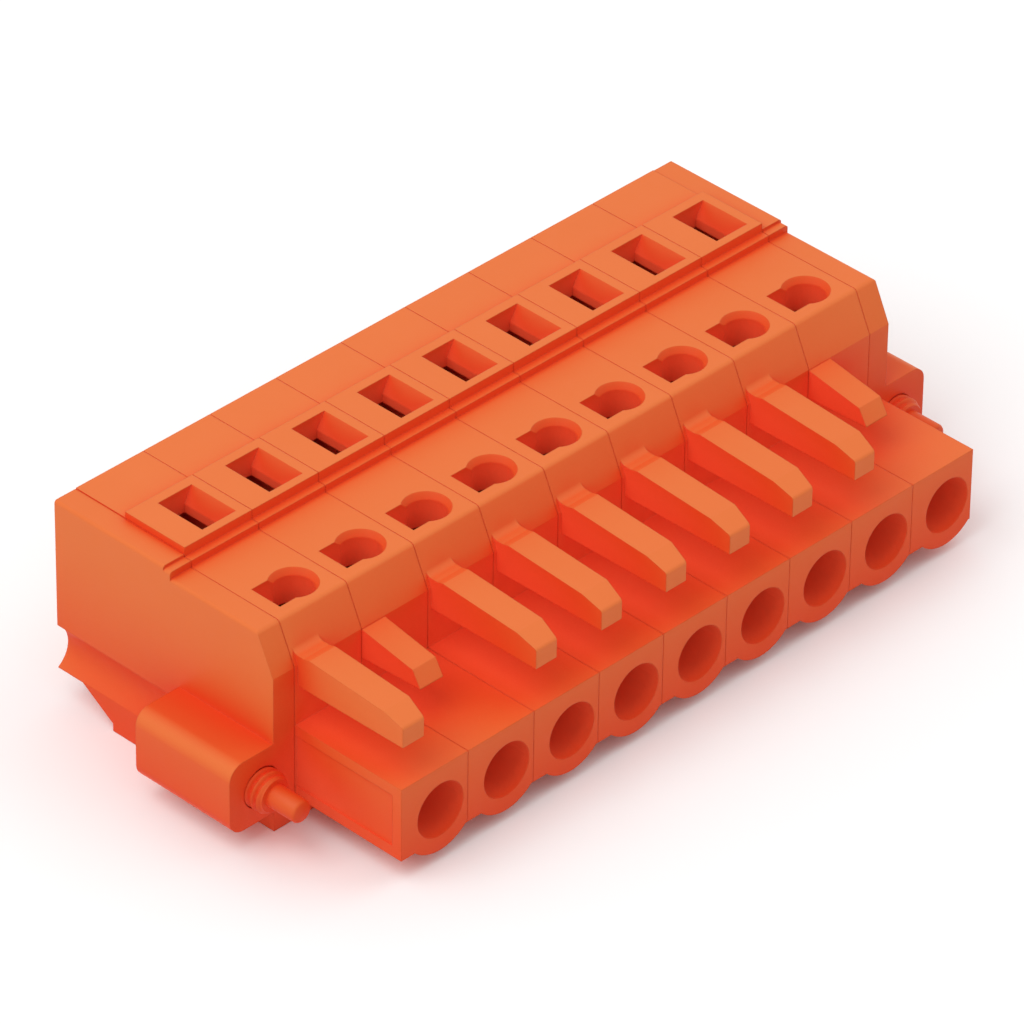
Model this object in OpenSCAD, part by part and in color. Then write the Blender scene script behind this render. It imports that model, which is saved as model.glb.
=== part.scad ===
// Angled pluggable terminal block: a row of snap-together pole housings between two
// screw-flange end plates. Each pole holds a copper contact and a steel cage clamp spring.
// Millimetres. X runs along the row, -Y is the mating direction and +Z is up, towards
// the wire entries. The origin is the bottom centre of the whole connector.

/* [Row] */
// Number of poles
poles = 9; // [2:1:12]
// Spacing of the poles
pitch = 5.08; // [5:0.01:6.5]
// Distance of the contact axis from its pole's left seam
contact_x = 3; // [2.95:0.01:3.05]
// Poles, counted from the left, whose coding finger is the short one
short_poles = [2, 9];
// Width of the hairline joint between neighbouring mouldings
seam = 0.04; // [0.02:0.01:0.08]

/* [Body] */
// Height of the back of the top
body_h = 13.45; // [13.2:0.05:16]
// Rise of the raised strip that holds the driver slots
pad_rise = 0.38; // [0.1:0.01:0.8]
// Width of the raised strip in front of the driver slots
pad_lead = 0.55; // [0.3:0.05:0.7]
// Width of the raised strip behind the driver slots
pad_tail = 0.65; // [0.4:0.05:1.5]
// Drop from the back of the top to the marker ledge
ledge_drop = 0.22; // [0.1:0.01:0.5]
// Width of the marker ledge
ledge_w = 0.53; // [0.3:0.01:1]
// Drop from the back of the top to the wire entry face
entry_drop = 0.65; // [0.6:0.01:0.9]
// Height of the slanting front face
slant_h = 2.55; // [1.5:0.05:3]
// How far the slanting front face leans back
slant_run = 1.2; // [0.6:0.05:1.3]
// Radius of the edge between the slanting face and the wire entry face
brow_r = 0.3; // [0.1:0.05:0.5]
// Length of the tail behind the heel
tail_len = 4.4; // [3:0.05:4.5]
// Height of the upright face of the heel
heel_h = 0.5; // [0.2:0.05:0.9]
// Height of the tail's underside
tail_z = 2.05; // [1.2:0.05:2.2]
// Length of the slope between heel and tail
tail_run = 2.4; // [1.5:0.05:2.9]
// Thickness of the heel's wall
heel_t = 0.6; // [0.5:0.05:1.2]
// Thickness of the closed side wall
side_t = 0.9; // [0.7:0.01:1.05]
// Thickness of the front wall
front_t = 1.5; // [1.45:0.01:1.6]
// Thickness of the back wall
back_t = 1.2; // [1:0.05:1.5]
// Thickness of the floor
floor_t = 1.2; // [0.9:0.05:1.3]
// Thickness of the shelf under the contact
shelf_t = 0.5; // [0.4:0.05:0.8]
// Thickness of the roof over the wire clamp
roof_t = 2.2; // [2:0.05:2.6]
// Thickness of the roof over the spring's loop
loop_roof_t = 1.6; // [1.4:0.05:2]

/* [Contact nose] */
// Length of the nose that enters the header
nose_len = 8.2; // [8:0.05:8.3]
// Height of the nose's top
nose_top = 6.37; // [6.2:0.01:7]
// Height of the nose's flat underside
nose_floor = 1.55; // [1.2:0.01:1.6]
// Height of the contact axis
contact_z = 3.5; // [3.4:0.01:3.6]
// Diameter of the contact hole
socket_d = 3.5; // [3.2:0.01:3.6]
// Depth of the contact hole
socket_len = 4; // [3:0.1:4.2]
// Diameter of the chamber behind the contact hole
chamber_d = 2.9; // [2.85:0.01:3]
// Radius of the rounded lobe under the nose
lobe_r = 2.75; // [2.4:0.01:2.9]
// Depth of the recessed panel on the nose's side
panel_depth = 0.12; // [0.05:0.01:0.3]
// Border of the recessed panel
panel_border = 0.7; // [0.4:0.05:1]

/* [Openings] */
// Diameter of the wire entry's mouth
entry_d = 2.88; // [2.7:0.01:3]
// Diameter of the wire entry's throat
throat_d = 2.4; // [2:0.01:2.5]
// Distance of the wire entry's axis behind the nose
entry_back = 3.15; // [3.1:0.01:3.2]
// Depth of the wire entry's funnel
funnel_depth = 0.4; // [0.2:0.05:0.6]
// Width of the square notch beside the wire entry's mouth
notch_w = 2.22; // [1.8:0.01:2.3]
// Depth of the notch
notch_depth = 1.55; // [0.8:0.05:1.6]
// Width of the driver slot, along the row
slot_w = 2.54; // [2.2:0.01:2.8]
// Length of the driver slot
slot_len = 3.5; // [3:0.05:3.6]
// How far the driver slot's front edge lies ahead of the spring loop's centre
slot_lead = 1.6; // [1.2:0.05:1.8]
// How far the driver slot lies to the right of the contact axis
slot_shift = 0.13; // [0:0.01:0.2]
// How far the driver slot's sloping wall leans in
slot_slope = 0.57; // [0.2:0.01:0.8]
// Depth of the driver slot's sloping wall
slot_slope_h = 1.03; // [0.5:0.01:1.4]

/* [Coding fingers] */
// Distance of the long finger from its pole's left seam
finger_x = 0.25; // [0.05:0.01:0.5]
// Width of the finger at its root
finger_w = 1.95; // [1.4:0.01:2.2]
// Width that a long finger loses at its tip
finger_taper = 0.4; // [0:0.01:0.6]
// Depth of the long finger's root below the crease of the front face
finger_t = 1.35; // [0.8:0.05:1.6]
// Rise of the long finger's root above the crease
finger_rise = 0.97; // [0.6:0.01:1.4]
// Depth of the hollow at the long finger's root
finger_dip = 0.31; // [0.2:0.01:0.4]
// How far the hollow reaches ahead of the front face
hollow_reach = 0.45; // [0.35:0.05:0.6]
// Distance of the long finger's ridge ahead of the front face
ridge_reach = 0.9; // [0.7:0.05:1.2]
// Drop of the ridge below the long finger's root
ridge_drop = 0.2; // [0.1:0.01:0.2]
// Drop of the long finger's top from the ridge to its tip
finger_drop = 0.35; // [0.2:0.05:0.5]
// Length of the long finger's sloping tip
tip_len = 1.5; // [1:0.1:2.5]
// Drop of the long finger's top along its tip
tip_drop = 0.4; // [0.2:0.05:0.6]
// Radius of the edge at the end of the tip
tip_r = 0.2; // [0.1:0.05:0.3]
// Rise of the long finger's underside towards its end
finger_draft = 0.1; // [0:0.05:0.2]
// Gap between the long finger's tip and the plane of the mating face
finger_inset = 0.15; // [0.1:0.05:1]
// Width that the short finger lacks against the long one
short_cut = 0.2; // [0:0.01:0.4]
// Depth of the short finger's root below the crease
short_t = 1.95; // [1:0.05:2.2]
// Length of the short finger
short_len = 4.5; // [3:0.05:6]
// Depth of the short finger's top below the crease, at the front face
short_step = 0.06; // [0.02:0.01:0.2]
// Drop of the short finger's top along its length
short_drop = 0.68; // [0.4:0.01:0.8]
// How far the short finger's end face leans back
short_lean = 0.6; // [0.4:0.05:0.8]
// Rise of the short finger's underside towards its end
short_draft = 0.2; // [0:0.05:0.3]

/* [Snap pegs] */
// Diameter of the pegs that line the poles up
peg_d = 0.7; // [0.5:0.01:0.75]
// Length of the pegs
peg_len = 0.45; // [0.3:0.05:0.5]
// Distance of the front peg below the crease
peg_drop = 1.2; // [0.8:0.1:1.6]
// Height of the back peg above the body's middle
peg_rise = 1; // [0:0.1:2]
// Clearance round a peg, on the radius
peg_gap = 0.04; // [0.02:0.01:0.08]

/* [End plates] */
// Thickness of an end plate
plate_t = 1.6; // [1.5:0.05:2]
// Radius of the end plates' outer top edges
edge_r = 0.2; // [0.1:0.05:0.4]
// How far the back of an end plate's top lies below the housings'
plate_drop = 0.05; // [0.02:0.01:0.15]
// Reach of the screw boss from the end seam
boss_reach = 4.9; // [4.8:0.05:5.6]
// Depth of the screw boss
boss_len = 7.4; // [7:0.05:8.4]
// Height of the screw boss's underside
boss_z = 1.3; // [1:0.05:1.35]
// Height of the screw boss's top
boss_top = 5.9; // [5.8:0.05:6.6]
// Radius of the screw boss's long edges
boss_r = 1; // [0.4:0.05:1.1]
// Distance of the screw axis from the end seam
screw_x = 2.54; // [2.5:0.01:2.56]
// Height of the screw axis
screw_z = 3.53; // [3.5:0.01:3.56]
// Diameter of the clearance hole round the screw's thread
bore_d = 2.58; // [2.56:0.01:2.7]
// Diameter of the head's counterbore and of the driver's trough behind it
trough_d = 3.42; // [3.38:0.01:3.44]
// Depth of the head's counterbore
counterbore = 3; // [2.6:0.05:3.2]
// Thickness of the lip that keeps the screw captive
lip_t = 0.8; // [0.5:0.05:1]
// Diameter of the hole through the lip
lip_d = 2.1; // [2.06:0.01:2.12]

/* [Flange screws] */
// Outer diameter of the screw's thread
thread_d = 2.5; // [2.4:0.01:2.54]
// How far the thread stands out of the boss
thread_out = 1.1; // [0.8:0.05:2.4]
// Gap between the thread's end and the lip
thread_gap = 0.4; // [0.2:0.05:0.8]
// Diameter of the screw's neck inside the lip
neck_d = 1.95; // [1.9:0.01:2]
// Diameter of the screw's plain point
point_d = 1.4; // [1.2:0.01:1.9]
// Length of the plain point
point_len = 2.1; // [1:0.05:2.3]
// Chamfer on the ends of the thread and of the point
point_chamfer = 0.15; // [0.1:0.01:0.3]
// Diameter of the screw's head
head_d = 3.3; // [3.26:0.01:3.34]
// Height of the screw's head
head_h = 2; // [1.5:0.05:2.2]
// Width of the driver slot in the head
head_slot_w = 0.6; // [0.4:0.05:0.8]
// Depth of the driver slot in the head
head_slot_h = 0.9; // [0.5:0.05:1.1]
// Axial play of the screw between head and lip
screw_play = 0.05; // [0.02:0.01:0.1]

/* [Contact] */
// Thickness of the copper strip
copper_t = 0.8; // [0.6:0.01:0.85]
// Width of the copper strip
copper_w = 2.5; // [2.2:0.01:2.52]
// Gap between the wire's way in and the clamping tab
tab_gap = 0.05; // [0:0.01:0.2]
// Height of the clamping tab's top
tab_top = 9.2; // [8:0.05:10]
// How far the copper foot reaches past the spring loop's centre
foot_tail = 0.9; // [0:0.05:1]
// Thickness of a spring leaf
leaf_t = 0.3; // [0.2:0.01:0.35]
// Width of a spring leaf
leaf_w = 1.6; // [1.2:0.05:1.65]
// Distance of the leaves' front ends behind the contact hole
leaf_inset = 0.4; // [0.2:0.05:1]
// How far the leaves' roots lie behind the nose
leaf_root_back = 0.8; // [0.5:0.05:1]
// Clearance between the leaves' bulge and the chamber
leaf_clear = 0.35; // [0.3:0.01:0.4]
// Flare of the leaves' front ends
leaf_flare = 0.35; // [0.2:0.05:0.5]
// Overlap of the leaves and the strip
leaf_lap = 0.2; // [0.1:0.05:0.4]
// Gap between the leaves where they grip the pin
leaf_gap = 0.75; // [0.5:0.01:0.9]

/* [Cage clamp spring] */
// Thickness of the steel strip
steel_t = 0.5; // [0.3:0.01:0.55]
// Width of the steel strip
steel_w = 3.4; // [3.3:0.01:3.5]
// Width of the window in the cage
window_w = 2.7; // [2.6:0.01:2.8]
// Height of the cage leg's middle
cage_z = 6.85; // [6.5:0.05:7.2]
// Height of the loop's centre
loop_z = 7; // [6.95:0.01:7.1]
// Length of the bend between the cage leg and the loop
loop_lead = 0.25; // [0.1:0.01:0.6]
// Length of the cage leg behind its window
leg_tail = 0.4; // [0.2:0.05:0.8]
// Room ahead of the driver slot, under the roof
slot_room = 0.4; // [0.2:0.05:0.6]
// Room behind the loop
loop_room = 2.3; // [1:0.05:3]
// How far the cage moves when the driver opens it
travel = 2; // [1:0.05:2.1]
// Clearance between the spring and the copper
spring_gap = 0.05; // [0.02:0.01:0.1]

/* [Hidden] */
$fn = 64;
EPS = 0.01;
ARC_STEPS = 24;
ENDS = ["left", "right"];

ORANGE = [0.91, 0.46, 0.24];
COPPER = [0.85, 0.83, 0.78];
STEEL = [0.62, 0.64, 0.66];

row_w = poles * pitch;

// Heights
pad_top = body_h + pad_rise;
plate_top = body_h - plate_drop;
ledge_z = body_h - ledge_drop;
entry_z = body_h - entry_drop;
crease_z = entry_z - slant_h;
room_floor = contact_z - copper_t / 2;
room_top = entry_z - roof_t;
back_room_floor = tail_z + floor_t;
back_room_top = pad_top - loop_roof_t;

// Stations along Y, from the mating face back. The wire's way sets the clamping tab,
// the tab sets the cage around it, and the spring's loop sets the driver slot and the back.
slant_back = nose_len + slant_run;
room_front = nose_len + front_t;
entry_y = nose_len + entry_back;
tab_y = entry_y + throat_d / 2 + tab_gap;
tab_back = tab_y + copper_t;
web_back = tab_y - spring_gap;
web_front = web_back - steel_t;
window_back = tab_back + travel + 2 * spring_gap;
leg_back = window_back + leg_tail;
loop_r = loop_z - (contact_z + copper_t / 2 + 2 * spring_gap + steel_t / 2);
loop_y = leg_back + loop_lead + loop_r;
slot_y = loop_y - slot_lead;
slot_back = slot_y + slot_len;
pad_front = slot_y - pad_lead;
pad_back = slot_back + pad_tail;
back_room_front = slot_y - slot_room;
room_back = loop_y + loop_r + steel_t / 2 + loop_room;
depth = room_back + back_t;
heel_y = depth - tail_len;
tail_y = heel_y + tail_run;
front_room_back = heel_y - heel_t;

// Stations of the flange screws
boss_back = nose_len + boss_len;
lip_back = boss_back - counterbore;
lip_front = lip_back - lip_t;
thread_front = nose_len - thread_out;
thread_back = lip_front - thread_gap;

// Snap pegs as [y, z], each in a wall that is solid on both sides of the seam
pegs = [
    [nose_len + front_t / 2, crease_z - peg_drop],
    [depth - back_t / 2, body_h / 2 + peg_rise],
    [(nose_len + heel_y) / 2, floor_t / 2]
];

// Points of a circular arc about [cy, cz], from angle a to angle b
function arc(cy, cz, r, a, b, steps = ARC_STEPS) =
    [for (i = [0:steps]) let (t = a + (b - a) * i / steps) [cy + r * cos(t), cz + r * sin(t)]];

function unit(v) = v / norm(v);

// Sideways direction of a path at its point i, long enough to keep the strip's thickness
function side_step(path, i) =
    let (
        before = unit(path[max(i, 1)] - path[max(i - 1, 0)]),
        after = unit(path[min(i + 1, len(path) - 1)] - path[min(i, len(path) - 2)]),
        mean = unit(before + after)
    )
    [-mean.y, mean.x] / (mean * after);

// Closed outline of a strip of thickness t that follows a path
function strip(path, t) = concat(
    [for (i = [0:len(path) - 1]) path[i] + side_step(path, i) * t / 2],
    [for (i = [len(path) - 1:-1:0]) path[i] - side_step(path, i) * t / 2]
);

// Moves its children to the left seam of pole i, with Y counted from the mating face
module at_pole(i) {
    translate([(i - 1) * pitch - row_w / 2, -depth / 2, 0]) children();
}

// Moves its children to an end seam, with +X away from the row
module at_end(side) {
    translate([0, -depth / 2, 0])
        mirror([side == "left" ? 1 : 0, 0, 0])
            translate([row_w / 2, 0, 0]) children();
}

// Extrudes an outline of [y, z] points along +X, from x to x + w
module along_x(x, w) {
    translate([x, 0, 0]) rotate([90, 0, 90]) linear_extrude(w) children();
}

// Extrudes an outline of [x, z] points along +Y, from y to y + l
module along_y(y, l) {
    translate([0, y + l, 0]) rotate([90, 0, 0]) linear_extrude(l) children();
}

// A box between two corners
module span(low, high) {
    translate(low) cube(high - low);
}

// A cylinder along +Y between two stations
module rod_y(x, z, d, y0, y1) {
    translate([x, y0, z]) rotate([-90, 0, 0]) cylinder(h = y1 - y0, d = d);
}

// Side outline of the body; top and back are the heights of its raised strip and its back
module body_outline(top, back) {
    turn = atan2(slant_h, slant_run);
    brow_y = slant_back + brow_r * tan(turn / 2);
    polygon(concat(
        [[nose_len, 0], [heel_y, 0], [heel_y, heel_h], [tail_y, tail_z], [depth, tail_z],
         [depth, back], [pad_back, back], [pad_back, top], [pad_front, top],
         [pad_front, ledge_z], [pad_front - ledge_w, ledge_z], [pad_front - ledge_w, entry_z]],
        arc(brow_y, entry_z - brow_r, brow_r, 90, 90 + turn, 6),
        [[nose_len, crease_z]]
    ));
}

// The contact nose, with its rounded lobe and the recessed panel on its side
module nose() {
    difference() {
        union() {
            span([seam / 2, 0, nose_floor], [pitch - seam / 2, nose_len + EPS, nose_top]);
            intersection() {
                rod_y(contact_x, contact_z, 2 * lobe_r, 0, nose_len + EPS);
                span([seam / 2, 0, 0], [pitch - seam / 2, nose_len + EPS, nose_top]);
            }
        }
        span([0, panel_border, nose_floor + panel_border],
             [seam / 2 + panel_depth, nose_len, nose_top - panel_border]);
    }
}

// The rooms for the contact and the spring, open towards the next pole
module rooms() {
    span([side_t, room_front, room_floor], [pitch + EPS, front_room_back, room_top]);
    span([side_t, back_room_front, back_room_floor], [pitch + EPS, room_back, back_room_top]);
    span([side_t, room_front, floor_t],
         [pitch + EPS, front_room_back, room_floor - shelf_t]);
}

// Funnelled wire entry: a square notch joins it above, a full round collar is left below
module wire_entry() {
    funnel_z = entry_z - funnel_depth;
    translate([contact_x, entry_y, 0]) {
        translate([0, 0, funnel_z])
            cylinder(h = funnel_depth + EPS, d1 = throat_d, d2 = entry_d);
        translate([0, 0, room_top - EPS])
            cylinder(h = funnel_z - room_top + 2 * EPS, d = throat_d);
    }
    span([side_t, entry_y - notch_w / 2, entry_z - notch_depth],
         [contact_x, entry_y + notch_w / 2, entry_z + EPS]);
}

// Slot for the driver that opens the clamp, with one sloping wall
module driver_slot() {
    slot_x = contact_x + slot_shift - slot_w / 2;
    inner_x = slot_x + slot_w - slot_slope;
    along_y(slot_y, slot_len) polygon([
        [slot_x, back_room_top - EPS], [inner_x, back_room_top - EPS],
        [inner_x, pad_top - slot_slope_h], [slot_x + slot_w, pad_top],
        [slot_x + slot_w, pad_top + EPS], [slot_x, pad_top + EPS]
    ]);
}

// Long coding finger: a hollow runs up to the front face at its root, and its right side
// tapers towards the tip
module long_finger() {
    root = crease_z + finger_rise;
    low = crease_z - finger_t;
    dip = root - finger_dip;
    lean = atan2(slant_run, slant_h);
    root_r = finger_dip / (1 - sin(lean));
    dip_y = nose_len + slant_run * finger_rise / slant_h - root_r * cos(lean);
    ridge = root - ridge_drop;
    bend = [finger_inset + tip_len, ridge - finger_drop];
    slope = atan2(tip_drop, tip_len);
    round_z = bend.y - tip_drop + tip_r * tan(slope) - tip_r / cos(slope);
    intersection() {
        along_x(finger_x, finger_w) polygon(concat(
            [[nose_len + EPS, low], [nose_len + EPS, crease_z]],
            arc(dip_y, dip + root_r, root_r, -lean, -90, 8),
            [[nose_len - hollow_reach, dip], [nose_len - ridge_reach, ridge], bend],
            arc(finger_inset + tip_r, round_z, tip_r, 90 + slope, 180, 4),
            [[finger_inset, low + finger_draft]]
        ));
        linear_extrude(body_h) polygon([
            [finger_x, 0], [finger_x + finger_w - finger_taper, 0],
            [finger_x + finger_w, bend.x], [finger_x + finger_w, depth], [finger_x, depth]
        ]);
    }
}

// Short coding finger, its end face leaning back
module short_finger() {
    tip = nose_len - short_len;
    low = crease_z - short_t;
    high = crease_z - short_step;
    along_x(seam / 2, finger_w - short_cut) polygon([
        [nose_len + EPS, low], [nose_len + EPS, high],
        [tip + short_lean, high - short_drop], [tip, low + short_draft]
    ]);
}

// Pegs that reach back from x over the seam; grow widens and lengthens them as sockets
module peg_row(x, grow = 0) {
    for (p = pegs)
        translate([x - peg_len - 2 * grow, p.x, p.y]) rotate([0, 90, 0])
            cylinder(h = peg_len + 2 * grow + EPS, d = peg_d + 2 * grow, $fn = 32);
}

// One moulded pole housing, open on its right side
module pole_housing(i) {
    color(ORANGE) at_pole(i) {
        difference() {
            union() {
                along_x(seam / 2, pitch - seam) body_outline(pad_top, body_h);
                nose();
                if (search(i, short_poles) == []) long_finger();
                else short_finger();
            }
            rooms();
            rod_y(contact_x, contact_z, socket_d, -EPS, socket_len);
            rod_y(contact_x, contact_z, chamber_d, socket_len - EPS, room_front + EPS);
            wire_entry();
            driver_slot();
            peg_row(pitch, peg_gap);
        }
        peg_row(seam / 2);
    }
}

// Copper contact: two spring leaves in the nose, a foot under the spring, and the
// upright tab that the wire is clamped against
module contact(i) {
    leaf_tip = socket_len + leaf_inset;
    leaf_root = nose_len + leaf_root_back;
    leaf_len = leaf_root - leaf_tip;
    flat = (copper_t - leaf_t) / 2;
    wide = chamber_d / 2 - leaf_t - leaf_clear;
    grip = (leaf_gap + leaf_t) / 2;
    shares = [0, 0.1, 0.3, 0.45, 0.8, 1];
    heights = [flat, flat, wide, wide, grip, grip + leaf_flare];
    leaf = [for (k = [0:5]) [leaf_root - shares[k] * leaf_len, heights[k]]];
    color(COPPER) at_pole(i) translate([contact_x, 0, contact_z]) {
        along_x(-copper_w / 2, copper_w) polygon([
            [leaf_root - leaf_lap, -copper_t / 2], [loop_y + foot_tail, -copper_t / 2],
            [loop_y + foot_tail, copper_t / 2], [tab_back, copper_t / 2],
            [tab_back, tab_top - contact_z], [tab_y, tab_top - contact_z],
            [tab_y, copper_t / 2], [leaf_root - leaf_lap, copper_t / 2]
        ]);
        for (flip = [0, 1]) mirror([0, 0, flip])
            along_x(-leaf_w / 2, leaf_w) polygon(strip(leaf, leaf_t));
    }
}

// Steel cage clamp spring: the cage leg with its window, the loop that the driver
// presses, and the return leg that rests above the copper foot
module clamp_spring(i) {
    loop_start = 162;
    path = concat(
        [[web_front, cage_z], [leg_back, cage_z]],
        arc(loop_y, loop_z, loop_r, loop_start, -90),
        [[window_back, loop_z - loop_r]]
    );
    color(STEEL) at_pole(i) translate([contact_x, 0, 0]) difference() {
        along_x(-steel_w / 2, steel_w) polygon(strip(path, steel_t));
        span([-window_w / 2, web_back, cage_z - steel_t],
             [window_w / 2, window_back, cage_z + steel_t]);
    }
}

// Outline of the screw boss, its two outer corners rounded
module boss_outline() {
    polygon(concat(
        [[seam / 2, boss_z]],
        arc(boss_reach - boss_r, boss_z + boss_r, boss_r, -90, 0, 12),
        arc(boss_reach - boss_r, boss_top - boss_r, boss_r, 0, 90, 12),
        [[seam / 2, boss_top]]
    ));
}

// Cuts the round along a plate's outer top edge, between two stations at height z
module edge_round(y0, y1, z) {
    along_y(y0, y1 - y0) translate([plate_t - edge_r, z - edge_r]) difference() {
        square(edge_r + EPS);
        circle(edge_r);
    }
}

// Moulded end plate with its screw boss and the trough for the driver
module end_plate(side) {
    color(ORANGE) at_end(side) {
        difference() {
            union() {
                along_x(seam / 2, plate_t - seam / 2) body_outline(plate_top, plate_top);
                along_y(nose_len, boss_len) boss_outline();
            }
            rod_y(screw_x, screw_z, bore_d, nose_len - EPS, lip_front);
            rod_y(screw_x, screw_z, lip_d, lip_front - EPS, lip_back + EPS);
            rod_y(screw_x, screw_z, trough_d, lip_back, depth + EPS);
            edge_round(pad_front, depth + EPS, plate_top);
            edge_round(pad_front - ledge_w, pad_front, ledge_z);
            edge_round(slant_back - slant_run * edge_r / slant_h, pad_front - ledge_w, entry_z);
            if (side == "left") mirror([1, 0, 0]) peg_row(0, peg_gap);
        }
        if (side == "right") peg_row(seam / 2);
    }
}

// Slotted captive screw with a relieved neck, a thread and a plain point
module flange_screw(side) {
    head_front = lip_back + screw_play;
    head_back = head_front + head_h;
    point_front = thread_front - point_len;
    color(ORANGE) at_end(side) difference() {
        translate([screw_x, 0, screw_z]) rotate([-90, 0, 0]) rotate_extrude() polygon([
            [0, point_front], [point_d / 2 - point_chamfer, point_front],
            [point_d / 2, point_front + point_chamfer], [point_d / 2, thread_front],
            [thread_d / 2 - point_chamfer, thread_front],
            [thread_d / 2, thread_front + point_chamfer], [thread_d / 2, thread_back],
            [neck_d / 2, thread_back], [neck_d / 2, head_front], [head_d / 2, head_front],
            [head_d / 2, head_back], [0, head_back]
        ]);
        span([screw_x - head_d, head_back - head_slot_h, screw_z - head_slot_w / 2],
             [screw_x + head_d, head_back + EPS, screw_z + head_slot_w / 2]);
    }
}

for (i = [1:poles]) {
    pole_housing(i);
    contact(i);
    clamp_spring(i);
}
for (side = ENDS) {
    end_plate(side);
    flange_screw(side);
}
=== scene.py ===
"""Looks of the pluggable terminal block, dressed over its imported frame. Metres throughout."""
import math

import bmesh
import bpy
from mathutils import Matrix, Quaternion, Vector


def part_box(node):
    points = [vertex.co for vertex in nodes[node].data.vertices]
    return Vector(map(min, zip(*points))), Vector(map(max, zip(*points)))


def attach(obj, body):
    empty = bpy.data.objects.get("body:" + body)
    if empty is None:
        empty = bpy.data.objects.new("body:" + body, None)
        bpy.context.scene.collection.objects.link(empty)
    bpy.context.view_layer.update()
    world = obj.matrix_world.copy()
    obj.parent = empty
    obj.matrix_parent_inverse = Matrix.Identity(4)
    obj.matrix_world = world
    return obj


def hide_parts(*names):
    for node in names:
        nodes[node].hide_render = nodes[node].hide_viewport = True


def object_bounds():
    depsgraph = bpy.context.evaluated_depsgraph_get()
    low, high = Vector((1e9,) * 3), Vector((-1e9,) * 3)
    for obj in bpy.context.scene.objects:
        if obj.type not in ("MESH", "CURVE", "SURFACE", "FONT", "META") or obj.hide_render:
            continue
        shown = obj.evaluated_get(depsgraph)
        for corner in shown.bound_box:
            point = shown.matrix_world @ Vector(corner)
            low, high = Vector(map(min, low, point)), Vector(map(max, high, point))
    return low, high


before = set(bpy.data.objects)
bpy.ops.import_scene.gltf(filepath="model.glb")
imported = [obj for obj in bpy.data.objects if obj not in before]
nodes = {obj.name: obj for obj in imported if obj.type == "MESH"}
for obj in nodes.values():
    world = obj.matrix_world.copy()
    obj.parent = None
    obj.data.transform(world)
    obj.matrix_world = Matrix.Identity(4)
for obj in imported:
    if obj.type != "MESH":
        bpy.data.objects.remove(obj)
cad_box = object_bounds()
scene = bpy.context.scene


# Camera: a long lens above the left front corner, so that the nose, the coding fingers and the
# wire entries face it. It turns about an aim point inside the row.
MM = 0.001
AZIMUTH, ELEVATION, ROLL = math.radians(-45.818), math.radians(35.332), math.radians(0.807)
AIM = Vector((-3.72, -2.08, 9.81)) * MM
DISTANCE = 469.2 * MM
LENS, SENSOR = 297.7, 36.0
NEAREST, FARTHEST = 0.01, 5.0


def heading(azimuth, elevation):
    """The unit vector from the part towards what stands at an azimuth and an elevation."""
    return Vector((
        math.sin(azimuth) * math.cos(elevation),
        -math.cos(azimuth) * math.cos(elevation),
        math.sin(elevation),
    ))


back = heading(AZIMUTH, ELEVATION)
camera_data = bpy.data.cameras.new("camera")
camera_data.lens = LENS
camera_data.sensor_width = SENSOR
camera_data.clip_start = NEAREST
camera_data.clip_end = FARTHEST
camera = bpy.data.objects.new("camera", camera_data)
scene.collection.objects.link(camera)
camera.rotation_mode = "QUATERNION"
camera.location = AIM + back * DISTANCE
camera.rotation_quaternion = Quaternion(back, ROLL) @ (-back).to_track_quat("-Z", "Y")
scene.camera = camera
scene.view_settings.view_transform = "Standard"


# Pole housings: one moulding a pole, with its nose, coding finger, wire entry and driver slot,
# pegged side by side into a row. They are satin orange polyamide with a fine spark-eroded grain
# and moulded edges. Every recess is painted redder by occlusion: painted shade standing in for
# the light that bounces between near walls.
HOUSING_OPEN = ((231, 118, 59), (227, 114, 55))
# Painted shade: the recess colours that occlusion mixes into the base colour, redder where shut
# in.
HOUSING_PAINTED_SHADE, HOUSING_PAINTED_DEEP_SHADE = (234, 68, 24), (255, 102, 64)
HOUSING_ROUGHNESS, HOUSING_EDGE = 0.5, 0.09 * MM
MOTTLE, SATIN, GRAIN = 220.0, 900.0, 16000.0  # features a metre
NOISE_DETAIL, GRAIN_DETAIL = 3.0, 2.0
GRAIN_STRENGTH, GRAIN_DEPTH = 0.16, 0.004 * MM
SMOOTHER, ROUGHER = 0.05, 0.07  # how far the roughness falls and rises
RECESS_REACH = 12.0 * MM
DEEP_AT, SHUT_AT, OPEN_AT = 0.2, 0.55, 1.0  # openness of a place
RECESS_SAMPLES, EDGE_SAMPLES = 8, 4
PLASTIC_IOR, PLASTIC_GLOSS = 1.5, 0.18


def linear(red, green, blue):
    """A display colour in 0 to 255 as the linear colour that renders as it."""
    def channel(value):
        value /= 255
        return value / 12.92 if value <= 0.04045 else ((value + 0.055) / 1.055) ** 2.4
    return (channel(red), channel(green), channel(blue), 1.0)


def graph(name):
    """A new material with its node tree and its Principled shader."""
    material = bpy.data.materials.new(name)
    material.use_nodes = True
    tree = material.node_tree
    return material, tree, tree.nodes["Principled BSDF"]


def feed(tree, node, **inputs):
    """Sets the sockets named, with _ for a space, or links them where an output is given."""
    for name, value in inputs.items():
        socket = node.inputs[name.replace("_", " ")]
        if isinstance(value, bpy.types.NodeSocket):
            tree.links.new(value, socket)
        else:
            socket.default_value = value
    return node


def add(tree, kind, **inputs):
    """A new shader node with its sockets fed."""
    return feed(tree, tree.nodes.new(kind), **inputs)


def object_noise(tree, scale, detail=NOISE_DETAIL):
    """Noise in the object's own coordinates, in features of 1/scale metres."""
    where = tree.nodes.new("ShaderNodeTexCoord")
    noise = add(tree, "ShaderNodeTexNoise", Vector=where.outputs["Object"], Scale=scale,
                Detail=detail)
    return noise.outputs["Fac"]


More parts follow.
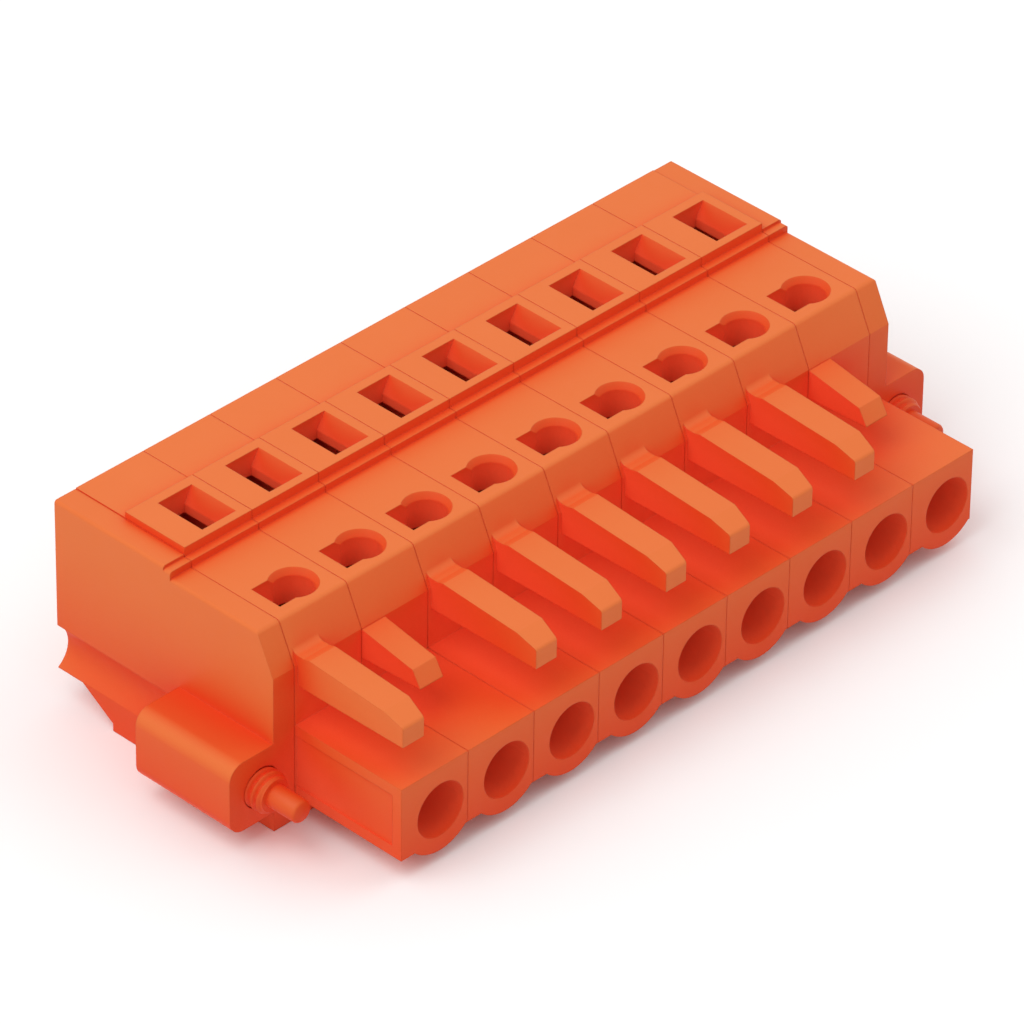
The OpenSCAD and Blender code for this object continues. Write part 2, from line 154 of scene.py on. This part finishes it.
def mix_colours(tree, factor, low, high):
    """Mixes two colours, or two colour outputs, by a factor from 0 to 1."""
    mix = tree.nodes.new("ShaderNodeMix")
    mix.data_type = "RGBA"
    return feed(tree, mix, Factor=factor, A=low, B=high).outputs["Result"]


def spread(tree, factor, low, high):
    """Maps a factor from 0..1 to low..high."""
    return add(tree, "ShaderNodeMapRange", Value=factor, To_Min=low, To_Max=high).outputs["Result"]


def moulded_plastic(name, open_colours, painted_shade_colour, painted_deep_shade_colour, roughness, edge):
    """Satin plastic in its open colours, with painted shade: redder colours mixed in by occlusion
    as a place is shut in.
    """
    material, tree, shader = graph(name)
    # Painted shade: occlusion picks the redder shade colours and mixes them over the open colours.
    surroundings = add(tree, "ShaderNodeAmbientOcclusion", Distance=RECESS_REACH)
    surroundings.samples = RECESS_SAMPLES
    painted_shade_ramp = add(tree, "ShaderNodeValToRGB", Fac=surroundings.outputs["AO"])
    deep, shut = painted_shade_ramp.color_ramp.elements
    deep.position, deep.color = DEEP_AT, linear(*painted_deep_shade_colour)
    shut.position, shut.color = SHUT_AT, linear(*painted_shade_colour)
    openness = add(tree, "ShaderNodeMapRange", Value=surroundings.outputs["AO"],
                   From_Min=SHUT_AT, From_Max=OPEN_AT)
    mottled = mix_colours(
        tree, object_noise(tree, MOTTLE), *(linear(*colour) for colour in open_colours))
    soft_edge = add(tree, "ShaderNodeBevel", Radius=edge)
    soft_edge.samples = EDGE_SAMPLES
    grain = add(
        tree, "ShaderNodeBump", Strength=GRAIN_STRENGTH, Distance=GRAIN_DEPTH,
        Height=object_noise(tree, GRAIN, GRAIN_DETAIL), Normal=soft_edge.outputs["Normal"])
    feed(
        tree, shader,
        Base_Color=mix_colours(
            tree, openness.outputs["Result"], painted_shade_ramp.outputs["Color"], mottled),
        Roughness=spread(
            tree, object_noise(tree, SATIN), roughness - SMOOTHER, roughness + ROUGHER),
        IOR=PLASTIC_IOR,
        Specular_IOR_Level=PLASTIC_GLOSS,
        Normal=grain.outputs["Normal"],
    )
    return material


def dress(prefix, material):
    """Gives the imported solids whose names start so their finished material."""
    for name, solid in nodes.items():
        if name.startswith(prefix):
            solid.data.materials.clear()
            solid.data.materials.append(material)


dress("pole_housing", moulded_plastic(
    "moulded_orange", HOUSING_OPEN, HOUSING_PAINTED_SHADE, HOUSING_PAINTED_DEEP_SHADE, HOUSING_ROUGHNESS, HOUSING_EDGE))


# End plates: two mouldings of the same plastic that close the row, each with its screw boss and
# driver's trough. Their flat sides come a little smoother out of the mould. Their colours are a
# slightly darker copy of the housings': painted shade that tones down the key lamp falling
# harder on the boss, and their recesses are painted redder by occlusion as the housings' are.
PLATE_OPEN = ((230, 116, 57), (226, 112, 53))
# Painted shade: the plate's recess colours, mixed in by occlusion.
PLATE_PAINTED_SHADE, PLATE_PAINTED_DEEP_SHADE = (228, 66, 23), (255, 98, 60)
PLATE_ROUGHNESS, PLATE_EDGE = 0.48, 0.09 * MM

dress("end_plate", moulded_plastic(
    "moulded_orange_plate", PLATE_OPEN, PLATE_PAINTED_SHADE, PLATE_PAINTED_DEEP_SHADE, PLATE_ROUGHNESS, PLATE_EDGE))


# Contacts: tinned copper, punched and bent from rolled strip, with fine rolling marks along Y.
# Each one is pushed into its housing's chamber, where its foot and clamping tab hold it.
COPPER_LIGHT, COPPER_DEEP, COPPER_ROUGHNESS = (214, 211, 203), (192, 186, 176), 0.34
ACROSS_MARKS, ALONG_MARKS = 9000.0, 500.0
MARK_STRENGTH, MARK_DEPTH = 0.2, 0.003 * MM
POLISHED, DULLED = 0.08, 0.1  # how far the roughness falls and rises


def rolled_strip(name, light, deep, roughness):
    """Bright metal strip with rolling marks along Y."""
    material, tree, shader = graph(name)
    where = tree.nodes.new("ShaderNodeTexCoord")
    stretch = add(tree, "ShaderNodeMapping", Vector=where.outputs["Object"],
                  Scale=(ACROSS_MARKS, ALONG_MARKS, ACROSS_MARKS))
    marks = add(tree, "ShaderNodeTexNoise", Vector=stretch.outputs["Vector"], Scale=1.0,
                Detail=NOISE_DETAIL).outputs["Fac"]
    scratches = add(tree, "ShaderNodeBump", Strength=MARK_STRENGTH, Distance=MARK_DEPTH,
                    Height=marks)
    feed(
        tree, shader,
        Base_Color=mix_colours(tree, marks, linear(*light), linear(*deep)),
        Roughness=spread(tree, marks, roughness - POLISHED, roughness + DULLED),
        Metallic=1.0,
        Normal=scratches.outputs["Normal"],
    )
    return material


dress("contact", rolled_strip("tinned_copper", COPPER_LIGHT, COPPER_DEEP, COPPER_ROUGHNESS))


# Cage clamp springs: chrome-nickel steel strip, wound into a loop whose windowed leg pulls the
# wire against the contact's tab. A driver pressed through the slot opens it.
STEEL_LIGHT, STEEL_DEEP, STEEL_ROUGHNESS = (178, 180, 182), (150, 152, 155), 0.3

dress("clamp_spring", rolled_strip("spring_steel", STEEL_LIGHT, STEEL_DEEP, STEEL_ROUGHNESS))


# Flange screws: captive M2.5 screws with a plain point and a slotted head, whose helical thread
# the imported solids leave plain. Each is spun from its profile, and the thread is then cut in.
SCREW_OPEN = ((226, 100, 46), (221, 94, 42))
# Painted shade: the screw's recess colours, mixed in by occlusion.
SCREW_PAINTED_SHADE, SCREW_PAINTED_DEEP_SHADE = (224, 72, 26), (248, 80, 44)
SCREW_ROUGHNESS, SCREW_EDGE = 0.42, 0.03 * MM
THREAD_PITCH, THREAD_DEPTH, THREAD_R = 0.45 * MM, 0.24 * MM, 1.25 * MM
ROOT_FLAT, FLANK = 0.16, 0.62  # shares of half a pitch
RUN_IN, RUN_OUT = 0.7 * THREAD_PITCH, THREAD_PITCH
POINT_R, POINT_LEN, POINT_CHAMFER = 0.7 * MM, 2.1 * MM, 0.15 * MM
CHAMFER_BACK, CHAMFER_IN = 0.3 * POINT_CHAMFER, 0.4 * POINT_CHAMFER
NECK_R, NECK_LEN = 0.975 * MM, 1.25 * MM
HEAD_LEN, HEAD_EDGE = 2.0 * MM, 0.12 * MM
SLOT_WIDTH, SLOT_DEPTH = 0.6 * MM, 0.9 * MM
AROUND, ROWS_A_PITCH = 72, 12
TOUCH = 0.001 * MM
SHARP = math.radians(50)
screw_plastic = moulded_plastic(
    "screw_orange", SCREW_OPEN, SCREW_PAINTED_SHADE, SCREW_PAINTED_DEEP_SHADE, SCREW_ROUGHNESS, SCREW_EDGE)


def helix(along, turn, length):
    """Height of the thread, 0 to 1, at a distance along it and a turn from 0 to 1."""
    phase = (along / THREAD_PITCH - turn) % 1.0
    flank = min(max((abs(phase - 0.5) * 2 - ROOT_FLAT) / FLANK, 0.0), 1.0)
    run_in = min(1.0, along / RUN_IN, (length - along) / RUN_OUT)
    return flank * max(run_in, 0.0)


def place(name, mesh):
    """Puts a finished mesh into the scene as an object at the origin."""
    data = bpy.data.meshes.new(name)
    mesh.to_mesh(data)
    mesh.free()
    piece = bpy.data.objects.new(name, data)
    scene.collection.objects.link(piece)
    return piece


for side in ("left", "right"):
    low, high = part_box(f"flange_screw_{side}")
    head_r = (high.x - low.x) / 2
    hub = Vector((low.x + head_r, 0, low.z + head_r))
    thread_front = low.y + POINT_LEN
    head_front = high.y - HEAD_LEN
    thread_len = head_front - NECK_LEN - thread_front
    rows = round(thread_len / THREAD_PITCH * ROWS_A_PITCH)
    outline = [
        (low.y, 0), (low.y, POINT_R - POINT_CHAMFER),
        (low.y + CHAMFER_BACK, POINT_R - CHAMFER_IN),
        (low.y + POINT_CHAMFER, POINT_R), (thread_front, POINT_R),
    ] + [(thread_front + thread_len * row / rows, THREAD_R) for row in range(rows + 1)] + [
        (thread_front + thread_len, NECK_R), (head_front, NECK_R),
        (head_front, head_r - HEAD_EDGE), (head_front + HEAD_EDGE, head_r),
        (high.y - HEAD_EDGE, head_r), (high.y, head_r - HEAD_EDGE), (high.y, 0),
    ]
    mesh = bmesh.new()
    profile = [mesh.verts.new(hub + Vector((r, y, 0))) for y, r in outline]
    for first, second in zip(profile, profile[1:]):
        mesh.edges.new((first, second))
    bmesh.ops.spin(
        mesh, geom=mesh.verts[:] + mesh.edges[:], cent=hub, axis=(0, 1, 0), dvec=(0, 0, 0),
        angle=2 * math.pi, steps=AROUND, use_merge=True, use_duplicate=False)
    bmesh.ops.remove_doubles(mesh, verts=mesh.verts, dist=TOUCH)
    for vert in mesh.verts:
        arm = vert.co - hub
        along = arm.y - thread_front
        arm.y = 0
        if abs(arm.length - THREAD_R) < TOUCH and -TOUCH < along < thread_len + TOUCH:
            lift = helix(along, math.atan2(arm.z, arm.x) / (2 * math.pi), thread_len)
            vert.co -= arm.normalized() * THREAD_DEPTH * (1 - lift)
    bmesh.ops.recalc_face_normals(mesh, faces=mesh.faces)
    screw = place(f"threaded_screw_{side}", mesh)

    # The slot's cutter reaches past the head's sides, and half of it stands behind the head.
    slot_mesh = bmesh.new()
    bmesh.ops.create_cube(slot_mesh, size=1.0)
    bmesh.ops.scale(
        slot_mesh, vec=(4 * head_r, 2 * SLOT_DEPTH, SLOT_WIDTH), verts=slot_mesh.verts)
    bmesh.ops.translate(slot_mesh, vec=hub + Vector((0, high.y, 0)), verts=slot_mesh.verts)
    slot_cutter = place("slot_cutter", slot_mesh)
    cut = screw.modifiers.new("slot", "BOOLEAN")
    cut.operation = "DIFFERENCE"
    cut.object = slot_cutter
    bpy.context.view_layer.update()
    screw.data = bpy.data.meshes.new_from_object(
        screw.evaluated_get(bpy.context.evaluated_depsgraph_get()))
    screw.modifiers.clear()
    bpy.data.objects.remove(slot_cutter)
    for face in screw.data.polygons:
        face.use_smooth = True
    screw.data.set_sharp_from_angle(angle=SHARP)
    screw.data.materials.append(screw_plastic)
    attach(screw, f"{side}_screw")
    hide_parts(f"flange_screw_{side}")


# Studio: a matt white floor and an even white surround, a little dimmer towards the nose, with
# one large soft lamp over the left shoulder and a weak one at the right front.
FLOOR_COLOUR, FLOOR_ROUGHNESS, FLOOR_GLOSS = (225, 225, 225), 0.9, 0.1
FLOOR_SIZE, FLOOR_GAP = 3.0, 0.02 * MM
WHITE = (1, 1, 1, 1)
DIM_SIDE = (0.25, -0.95, 0.18)
LIT_LEVEL, DIM_LEVEL, SEEN_LEVEL = 0.81, 0.58, 1.0


def is_seen(tree):
    """1 for the rays that show the surroundings, directly or in a gloss, and 0 for the rest."""
    path = tree.nodes.new("ShaderNodeLightPath")
    seen = path.outputs["Is Camera Ray"]
    for ray in ("Is Glossy Ray", "Is Transmission Ray"):
        either = tree.nodes.new("ShaderNodeMath")
        either.operation = "MAXIMUM"
        tree.links.new(seen, either.inputs[0])
        tree.links.new(path.outputs[ray], either.inputs[1])
        seen = either.outputs["Value"]
    return seen


floor_material, floor_tree, floor_shader = graph("floor")
feed(
    floor_tree, floor_shader,
    Base_Color=mix_colours(floor_tree, is_seen(floor_tree), linear(*FLOOR_COLOUR), WHITE),
    Roughness=FLOOR_ROUGHNESS,
    Specular_IOR_Level=FLOOR_GLOSS,
)
bpy.ops.mesh.primitive_plane_add(size=FLOOR_SIZE, location=(0, 0, cad_box[0].z - FLOOR_GAP))
floor = bpy.context.object
floor.name = "floor"
floor.data.materials.append(floor_material)

world = bpy.data.worlds.new("surround")
world.use_nodes = True
room = world.node_tree
whence = room.nodes.new("ShaderNodeTexCoord")
facing = room.nodes.new("ShaderNodeVectorMath")
facing.operation = "DOT_PRODUCT"
room.links.new(whence.outputs["Generated"], facing.inputs[0])
facing.inputs[1].default_value = DIM_SIDE
level = add(
    room, "ShaderNodeMix", Factor=is_seen(room),
    A=spread(room, facing.outputs["Value"], LIT_LEVEL, DIM_LEVEL), B=SEEN_LEVEL)
feed(room, room.nodes["Background"], Color=WHITE, Strength=level.outputs["Result"])
scene.world = world


def soft_lamp(name, azimuth, elevation, distance, size, power):
    """A square area lamp that looks at the part's centre."""
    towards = heading(math.radians(azimuth), math.radians(elevation))
    data = bpy.data.lights.new(name, "AREA")
    data.energy = power
    data.size = size
    lamp = bpy.data.objects.new(name, data)
    scene.collection.objects.link(lamp)
    lamp.location = towards * distance
    lamp.rotation_mode = "QUATERNION"
    lamp.rotation_quaternion = towards.to_track_quat("Z", "Y")


soft_lamp("key", azimuth=-95, elevation=55, distance=0.6, size=0.45, power=1.3)
soft_lamp("fill", azimuth=60, elevation=50, distance=0.7, size=0.4, power=0.5)
